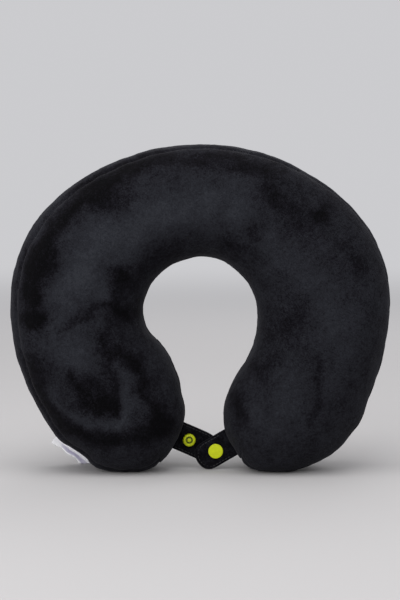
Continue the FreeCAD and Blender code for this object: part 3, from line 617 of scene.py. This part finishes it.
def shape_top(piece, steps):
    """Inset and raise the blank's top face, one step after another."""
    pick(piece)
    bpy.ops.object.mode_set(mode="EDIT")
    bpy.ops.mesh.select_mode(type="FACE")
    bpy.ops.mesh.select_all(action="DESELECT")
    bpy.ops.object.mode_set(mode="OBJECT")
    top = max(piece.data.polygons, key=lambda face: face.center.z)
    top.select = True
    bpy.ops.object.mode_set(mode="EDIT")
    for inset, rise in steps:
        bpy.ops.mesh.inset(thickness=inset * MM, depth=0)
        bpy.ops.transform.translate(value=(0, 0, rise * MM))
    bpy.ops.object.mode_set(mode="OBJECT")


def finish_snap(piece, turn, body, plastic, node, bevel):
    """Round a snap's edges, put it in place and hand it to its body."""
    rounding = piece.modifiers.new("Rounded", "BEVEL")
    rounding.width = bevel * MM
    rounding.segments = 3
    rounding.limit_method = "ANGLE"
    rounding.angle_limit = math.radians(38)
    apply_modifier(piece, rounding)
    piece.data.transform(turn)
    bpy.ops.object.shade_smooth_by_angle(angle=math.radians(35))
    piece.data.materials.append(plastic)
    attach(piece, body)
    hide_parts(node)


def snaps(plastic, painted_recess_shade):
    """Make the plain caps, the ringed socket and the stud, with painted shade on the socket's
    recess floor.
    """
    def middle(node):
        low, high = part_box(node)
        return Vector(((low[0] + high[0]) / 2, 0, (low[2] + high[2]) / 2))

    cap_steps = [(0.25, 0.12), (0.9, 0.16), (1.6, 0.07)]
    front = Vector((0, RIGHT_TAB.root.y - TAB_THICKNESS / 2 + SNAP_SINK, 0))
    cap, turn = disc("stud_cap_button", middle("stud_cap") + front, CAP_RADIUS, 1.1 * MM, -1)
    shape_top(cap, cap_steps)
    finish_snap(cap, turn, "right_tab", plastic, "stud_cap", 0.32)
    back = Vector((0, LEFT_TAB.root.y + TAB_THICKNESS / 2 - SNAP_SINK, 0))
    cap, turn = disc("socket_cap_button", middle("socket_cap") + back, CAP_RADIUS, 1.1 * MM, 1)
    shape_top(cap, cap_steps)
    finish_snap(cap, turn, "left_tab", plastic, "socket_cap", 0.32)
    face = Vector((0, LEFT_TAB.root.y - TAB_THICKNESS / 2 + SNAP_SINK, 0))
    socket, turn = disc("socket_ring", middle("snap_socket") + face, SNAP_RADIUS, 1.5 * MM, -1)
    shape_top(socket, [(0.35, 0.6), (0.5, 0.35), (1.35, 0), (0.12, -2.2), (1.35, 0),
                       (0.1, 1.5), (0.5, 0.3)])
    finish_snap(socket, turn, "left_tab", plastic, "snap_socket", 0.14)
    # Painted shade: a darker green for the flat faces in the recess round the hub.
    socket.data.materials.append(painted_recess_shade)
    hub = middle("snap_socket")
    for face in socket.data.polygons:
        spread = math.hypot(face.center.x - hub.x, face.center.z - hub.z)
        if 1.75 * MM < spread < 3.25 * MM and abs(face.normal.y) > 0.9:
            face.material_index = 1
    rear = Vector((0, RIGHT_TAB.root.y + TAB_THICKNESS / 2 - SNAP_SINK, 0))
    stud, turn = disc("stud_post", middle("snap_stud") + rear, SNAP_RADIUS, 1.0 * MM, 1)
    shape_top(stud, [(0.3, 0.25), (2.4, 0), (0.05, 1.5), (-0.3, 0.5), (0.5, 0.3), (0.7, 0),
                     (0.1, -1.6)])
    finish_snap(stud, turn, "right_tab", plastic, "snap_stud", 0.14)


# ---------------------------------------------------------------- care label


def care_label(satin):
    """Fold a strip of satin ribbon, its front leaf creased, as sewn in its seam."""
    deselect_all()
    bpy.ops.mesh.primitive_grid_add(x_subdivisions=80, y_subdivisions=44, size=2)
    piece = bpy.context.object
    piece.name = "folded_care_label"
    root, leaf, fold = LABEL_ROOT, LABEL_LEAF, LABEL_FOLD
    outward = Vector((-math.cos(LABEL_ANGLE), 0, -math.sin(LABEL_ANGLE)))
    along = Vector((-math.sin(LABEL_ANGLE), 0, math.cos(LABEL_ANGLE)))
    total = 2 * leaf + math.pi * fold
    inner = []
    for vertex in piece.data.vertices:
        run = (vertex.co.x + 1) / 2 * total
        side = vertex.co.y
        spread = 1.2 + 1.3 * (1 - side ** 2)
        if run < leaf:
            reach = run
            hollow = math.exp(-((run - 0.80 * leaf) / (2.1 * MM)) ** 2) * (1 - side ** 2)
            ridge = math.exp(-((run - 0.60 * leaf) / (1.5 * MM)) ** 2)
            out = -fold * (spread * smooth_share(run / leaf) + 1.5 * ridge - 1.6 * hollow)
        elif run > total - leaf:
            reach = total - run
            out = fold * smooth_share(reach / leaf)
        else:
            turn = (run - leaf) / fold
            reach = leaf + fold * math.sin(turn)
            mean = (1 - spread) / 2
            out = fold * (mean - (1 + spread) / 2 * math.cos(turn))
        # Painted shade: a lens over the front leaf's hollow, stored to tint the satin lilac.
        lens = max(0, 1 - ((side + 0.08) / 0.7) ** 2)
        inner.append(lens ** 0.5 * smooth_share((run - 0.79 * leaf) / (1.2 * MM))
                     * (run < leaf - 0.4 * MM))
        wave = 0.8 * MM * math.sin(side * 2.3) * (reach / leaf) ** 2
        frayed = 0.5 * MM * math.sin(side * 9) * (reach / leaf) ** 4
        reach += frayed - LABEL_BURIED
        vertex.co = (root + outward * reach + along * side * LABEL_HALF_WIDTH
                     + Vector((0, out + wave, 0)))
    shade = piece.data.attributes.new("painted_fold_shade", "FLOAT", "POINT")
    shade.data.foreach_set("value", np.array(inner, dtype=np.float32))
    ribbon = piece.modifiers.new("Ribbon", "SOLIDIFY")
    ribbon.thickness = 0.3 * MM
    ribbon.offset = 0
    apply_modifier(piece, ribbon)
    for vertex in piece.data.vertices:
        lie_on_floor(vertex)
    bpy.ops.object.shade_smooth_by_angle(angle=math.radians(50))
    piece.data.materials.append(satin)
    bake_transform(piece)
    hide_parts("care_label")


def lie_on_floor(vertex):
    """Bend the label's low corner back along the floor, on a small curve."""
    curve_foot = 0.5 * MM
    drop = LABEL_BEND + curve_foot - vertex.co.z
    if drop <= 0:
        return
    turn = min(drop / LABEL_BEND, math.pi / 2)
    lift = vertex.co.y - LABEL_ROOT.y
    vertex.co.y = (LABEL_ROOT.y + lift * math.cos(turn) + LABEL_BEND * (1 - math.cos(turn))
                   + max(0, drop - LABEL_BEND * math.pi / 2))
    height = curve_foot + LABEL_BEND * (1 - math.sin(turn)) + lift * math.sin(turn)
    vertex.co.z = max(height, LABEL_LOWEST)


def smooth_share(value):
    """Ease in from 0 to 1."""
    value = min(1, max(0, value))
    return value * value * (3 - 2 * value)


# ---------------------------------------------------------------- zipper


def zipper(tape, coil, metal):
    """Finish the zipper: woven tapes, looped teeth, and enamelled metal parts."""
    up_section = Vector((0, math.sin(ZIP_LEAN), math.cos(ZIP_LEAN)))
    side_section = Vector((0, math.cos(ZIP_LEAN), -math.sin(ZIP_LEAN)))
    step_angle = TOOTH_PITCH / ZIP_RADIUS
    count = int(2 * math.radians(ZIP_ANGLE) / step_angle)
    for name, sign in (("front", -1), ("back", 1)):
        places = []
        for i in range(count):
            step = i + (0.5 if sign > 0 else 0)
            turn = Matrix.Rotation(step * step_angle - math.radians(ZIP_ANGLE), 3, "Y")
            spot = (Vector(RIM_CENTRE) + up_section * COIL_HEIGHT
                    + side_section * sign * COIL_OFFSET)
            spot = turn @ spot + Vector((0, 0, CROWN_HEIGHT))
            across_way = turn @ side_section
            places.append(frame_at(spot, across_way, turn @ up_section))
        model = bead(TOOTH_RADIUS, TOOTH_LENGTH)
        teeth = repeat_along(model, "zipper_teeth_" + name, places)
        teeth.data.materials.clear()
        teeth.data.materials.append(coil)
        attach(teeth, "pillow")
        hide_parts("zipper_coil_" + name)
    for node, finish in (("zipper_tape_front", tape), ("zipper_tape_back", tape),
                         ("zipper_stop_left", metal), ("zipper_stop_right", metal),
                         ("zipper_slider", metal), ("zipper_pull", metal)):
        NODES[node].data.materials.clear()
        NODES[node].data.materials.append(finish)


# ---------------------------------------------------------------- finishes


def new_finish(name, colour, roughness):
    """Start a material and return it with its nodes, links and shader."""
    finish = bpy.data.materials.new(name)
    finish.use_nodes = True
    nodes, links = finish.node_tree.nodes, finish.node_tree.links
    shader = nodes["Principled BSDF"]
    shader.inputs["Base Color"].default_value = (*colour, 1)
    shader.inputs["Roughness"].default_value = roughness
    coordinates = nodes.new("ShaderNodeTexCoord").outputs["Object"]
    return finish, nodes, links, shader, coordinates


def noise_node(nodes, links, coordinates, scale, detail=4, roughness=0.6):
    """Add a noise pattern; scale is in repeats per metre."""
    pattern = nodes.new("ShaderNodeTexNoise")
    pattern.inputs["Scale"].default_value = scale
    pattern.inputs["Detail"].default_value = detail
    pattern.inputs["Roughness"].default_value = roughness
    links.new(coordinates, pattern.inputs["Vector"])
    return pattern.outputs["Fac"]


def ramp_node(nodes, links, value, stops):
    """Turn a value into a colour through stops of position and colour."""
    ramp = nodes.new("ShaderNodeValToRGB")
    elements = ramp.color_ramp.elements
    while len(elements) < len(stops):
        elements.new(0.5)
    for element, (position, colour) in zip(elements, stops):
        element.position = position
        element.color = (*colour, 1)
    links.new(value, ramp.inputs["Fac"])
    return ramp.outputs["Color"]


def sum_node(nodes, links, first, second, share):
    """Add a share of one value to another."""
    node = nodes.new("ShaderNodeMath")
    node.operation = "MULTIPLY_ADD"
    links.new(second, node.inputs[0])
    node.inputs[1].default_value = share
    links.new(first, node.inputs[2])
    return node.outputs[0]


def bump_node(nodes, links, height, strength, distance):
    """Raise the surface by a pattern."""
    bump = nodes.new("ShaderNodeBump")
    bump.inputs["Strength"].default_value = strength
    bump.inputs["Distance"].default_value = distance
    links.new(height, bump.inputs["Height"])
    return bump.outputs["Normal"]


def plush_finish():
    """Black plush: short pile that shows lighter or darker as it has been brushed; its tone also
    holds painted sheen and painted crease shade.
    """
    finish, nodes, links, shader, where = new_finish("black_plush", (0.01, 0.01, 0.012), 0.92)
    tone = nodes.new("ShaderNodeAttribute")
    tone.attribute_name = "pile_tone_and_painted_light"
    fine = noise_node(nodes, links, where, 800, 2, 0.7)
    tufts = noise_node(nodes, links, where, 360, 3, 0.7)
    mixed = sum_node(nodes, links, tone.outputs["Fac"], fine, 0.95)
    mixed = sum_node(nodes, links, mixed, tufts, 0.7)
    lowered = nodes.new("ShaderNodeMath")
    lowered.operation = "SUBTRACT"
    links.new(mixed, lowered.inputs[0])
    lowered.inputs[1].default_value = 0.835
    colour = ramp_node(nodes, links, lowered.outputs[0], [
        (0.0, (0.0007, 0.0006, 0.0010)), (0.28, (0.0042, 0.0039, 0.0057)),
        (0.52, (0.0105, 0.0108, 0.0138)), (0.78, (0.0156, 0.0166, 0.0208)),
        (1.0, (0.0225, 0.0240, 0.0292))])
    links.new(colour, shader.inputs["Base Color"])
    shader.inputs["Specular IOR Level"].default_value = 0.06
    shader.inputs["Sheen Weight"].default_value = 0.032
    shader.inputs["Sheen Roughness"].default_value = 0.45
    shader.inputs["Sheen Tint"].default_value = (0.86, 0.84, 0.95, 1)
    pile = sum_node(nodes, links, fine, tufts, 0.8)
    links.new(bump_node(nodes, links, pile, 0.55, 0.5 * MM), shader.inputs["Normal"])
    return finish


def foam_finish():
    """Cream open cell foam."""
    finish, nodes, links, shader, where = new_finish("cream_foam", (0.75, 0.68, 0.5), 0.95)
    cells = noise_node(nodes, links, where, 700, 2)
    colour = ramp_node(nodes, links, cells, [(0.3, (0.55, 0.47, 0.32)), (0.7, (0.8, 0.73, 0.55))])
    links.new(colour, shader.inputs["Base Color"])
    links.new(bump_node(nodes, links, cells, 0.6, 0.5 * MM), shader.inputs["Normal"])
    return finish


def knit_finish():
    """Fine white knit for the lining."""
    finish, nodes, links, shader, where = new_finish("lining_knit", (0.7, 0.7, 0.69), 0.9)
    rows = nodes.new("ShaderNodeTexWave")
    rows.inputs["Scale"].default_value = 500
    rows.inputs["Distortion"].default_value = 1.5
    rows.bands_direction = "Z"
    links.new(where, rows.inputs["Vector"])
    colour = ramp_node(nodes, links, rows.outputs["Fac"],
                       [(0.2, (0.52, 0.52, 0.51)), (0.7, (0.75, 0.75, 0.74))])
    links.new(colour, shader.inputs["Base Color"])
    links.new(bump_node(nodes, links, rows.outputs["Fac"], 0.5, 0.3 * MM),
              shader.inputs["Normal"])
    return finish


def woven_finish(name, dark, light, scale, roughness=0.8):
    """A plain weave, for the tapes."""
    finish, nodes, links, shader, where = new_finish(name, light, roughness)
    total = None
    for direction in ("X", "Z"):
        threads = nodes.new("ShaderNodeTexWave")
        threads.bands_direction = direction
        threads.inputs["Scale"].default_value = scale
        links.new(where, threads.inputs["Vector"])
        if total is None:
            total = threads.outputs["Fac"]
        else:
            total = sum_node(nodes, links, total, threads.outputs["Fac"], 1)
    colour = ramp_node(nodes, links, total, [(0.3, dark), (1.0, light)])
    links.new(colour, shader.inputs["Base Color"])
    links.new(bump_node(nodes, links, total, 0.5, 0.2 * MM), shader.inputs["Normal"])
    return finish


def thread_finish():
    """Twisted black thread."""
    finish, nodes, links, shader, where = new_finish("black_thread", (0.012, 0.012, 0.014), 0.6)
    fibres = noise_node(nodes, links, where, 2400, 2)
    colour = ramp_node(nodes, links, fibres,
                       [(0.3, (0.004, 0.004, 0.005)), (0.75, (0.018, 0.018, 0.022))])
    links.new(colour, shader.inputs["Base Color"])
    links.new(bump_node(nodes, links, fibres, 0.4, 0.1 * MM), shader.inputs["Normal"])
    shader.inputs["Sheen Weight"].default_value = 0.1
    return finish


def metal_finish():
    """Black enamelled zipper metal."""
    finish, nodes, links, shader, where = new_finish("black_enamel", (0.012, 0.012, 0.013), 0.32)
    wear = noise_node(nodes, links, where, 260, 5)
    rough = nodes.new("ShaderNodeMapRange")
    rough.inputs["To Min"].default_value = 0.24
    rough.inputs["To Max"].default_value = 0.46
    links.new(wear, rough.inputs["Value"])
    links.new(rough.outputs["Result"], shader.inputs["Roughness"])
    shader.inputs["Metallic"].default_value = 0.6
    return finish


def plastic_finish(name, colour, roughness):
    """Moulded plastic with faint flow in its tint and gloss."""
    finish, nodes, links, shader, where = new_finish(name, colour, roughness)
    flow = noise_node(nodes, links, where, 180, 3)
    darker = tuple(part * 0.88 for part in colour)
    tint = ramp_node(nodes, links, flow, [(0.35, darker), (0.65, colour)])
    links.new(tint, shader.inputs["Base Color"])
    links.new(bump_node(nodes, links, flow, 0.06, 0.3 * MM), shader.inputs["Normal"])
    shader.inputs["Specular IOR Level"].default_value = 0.3
    shader.inputs["Coat Weight"].default_value = 0.08
    shader.inputs["Coat Roughness"].default_value = 0.12
    return finish


def satin_finish():
    """White satin ribbon, finely ribbed, with painted lilac shade in the hollow of its creased
    leaf.
    """
    finish, nodes, links, shader, where = new_finish("label_satin", (0.8, 0.8, 0.83), 0.5)
    ribs = nodes.new("ShaderNodeTexWave")
    ribs.bands_direction = "DIAGONAL"
    ribs.inputs["Scale"].default_value = 420
    links.new(where, ribs.inputs["Vector"])
    colour = ramp_node(nodes, links, ribs.outputs["Fac"],
                       [(0.2, (0.86, 0.86, 0.90)), (0.8, (0.94, 0.94, 0.96))])
    # Painted shade: lilac mixed into the satin where the leaf's hollow lies.
    leaf = nodes.new("ShaderNodeAttribute")
    leaf.attribute_name = "painted_fold_shade"
    tint = nodes.new("ShaderNodeMix")
    tint.data_type = "RGBA"
    tint.inputs["B"].default_value = (0.52, 0.49, 0.66, 1)
    links.new(leaf.outputs["Fac"], tint.inputs["Factor"])
    links.new(colour, tint.inputs["A"])
    links.new(tint.outputs["Result"], shader.inputs["Base Color"])
    links.new(bump_node(nodes, links, ribs.outputs["Fac"], 0.25, 0.1 * MM),
              shader.inputs["Normal"])
    shader.inputs["Sheen Weight"].default_value = 0.2
    return finish


# ---------------------------------------------------------------- scene


def floor_and_light():
    """Lay a pale floor and light it softly from above and in front."""
    deselect_all()
    bpy.ops.mesh.primitive_plane_add(size=14, location=(0, 0, 0))
    floor = bpy.context.object
    floor.name = "studio_floor"
    paint = bpy.data.materials.new("pale_floor")
    paint.use_nodes = True
    shader = paint.node_tree.nodes["Principled BSDF"]
    shader.inputs["Base Color"].default_value = (0.47, 0.46, 0.46, 1)
    shader.inputs["Roughness"].default_value = 0.9
    shader.inputs["Specular IOR Level"].default_value = 0.1
    nodes, links = paint.node_tree.nodes, paint.node_tree.links
    reach = nodes.new("ShaderNodeVectorMath")
    reach.operation = "LENGTH"
    links.new(nodes.new("ShaderNodeTexCoord").outputs["Object"], reach.inputs[0])
    share = nodes.new("ShaderNodeMapRange")
    share.interpolation_type = "SMOOTHSTEP"
    share.inputs["From Min"].default_value = 0.5
    share.inputs["From Max"].default_value = 3.5
    links.new(reach.outputs["Value"], share.inputs["Value"])
    haze = nodes.new("ShaderNodeEmission")
    haze.inputs["Color"].default_value = ROOM_COLOUR
    mix = nodes.new("ShaderNodeMixShader")
    links.new(share.outputs["Result"], mix.inputs["Fac"])
    links.new(shader.outputs["BSDF"], mix.inputs[1])
    links.new(haze.outputs["Emission"], mix.inputs[2])
    links.new(mix.outputs["Shader"], nodes["Material Output"].inputs["Surface"])
    floor.data.materials.append(paint)
    world = bpy.data.worlds.new("soft_room")
    bpy.context.scene.world = world
    world.use_nodes = True
    background = world.node_tree.nodes["Background"]
    background.inputs["Color"].default_value = ROOM_COLOUR
    background.inputs["Strength"].default_value = 1.0
    lamps = (("overhead", (-0.15, -0.35, 1.5), 1.3, 13), ("front", (-0.5, -1.6, 0.9), 1.1, 9),
             ("side", (1.3, -0.7, 0.8), 0.9, 4), ("behind", (0.3, 1.5, 1.2), 1.2, 7),
             ("low left", (-1.3, -0.9, 0.25), 0.7, 10))
    for name, place, size, power in lamps:
        light = bpy.data.lights.new(name, "AREA")
        light.size = size
        light.energy = power
        lamp = bpy.data.objects.new(name, light)
        lamp.location = place
        aim = Vector((0, 0, HEIGHT / 2)) - Vector(place)
        lamp.rotation_euler = aim.to_track_quat("-Z", "Y").to_euler()
        bpy.context.scene.collection.objects.link(lamp)
    bpy.context.scene.view_settings.view_transform = "Standard"


def camera():
    """Look at the pillow from in front, a little above the floor."""
    lens = bpy.data.cameras.new("camera")
    distance = 1.6
    seen_height = 0.508
    elevation = math.radians(4)
    lens.sensor_width = 36
    lens.lens = 36 / 2 / (seen_height / 2 / distance)
    eye = bpy.data.objects.new("camera", lens)
    target = Vector((0.0, 0.0, 0.1442))
    eye.location = target + Vector((0, -math.cos(elevation), math.sin(elevation))) * distance
    eye.rotation_euler = (target - eye.location).to_track_quat("-Z", "Y").to_euler()
    bpy.context.scene.collection.objects.link(eye)
    bpy.context.scene.camera = eye


plush = plush_finish()
thread = thread_finish()
snap_green = plastic_finish("snap_yellow_green", (0.62, 0.70, 0.004), 0.34)
cover_panels(plush)
inner_layers(foam_finish(), knit_finish())
snap_tab(LEFT_TAB, 6 * MM, plush)
snap_tab(RIGHT_TAB, 9 * MM, plush)
tab_stitches(LEFT_TAB, thread)
tab_stitches(RIGHT_TAB, thread)
# The second finish is a darker green, painted shade for the socket's recess.
snaps(snap_green, plastic_finish("snap_recess_painted_shade", (0.12, 0.15, 0.003), 0.5))
care_label(satin_finish())
zipper(woven_finish("zipper_tape_weave", (0.004, 0.004, 0.005), (0.02, 0.02, 0.023), 900),
       plastic_finish("coil_plastic", (0.02, 0.02, 0.022), 0.4), metal_finish())
floor_and_light()
camera()
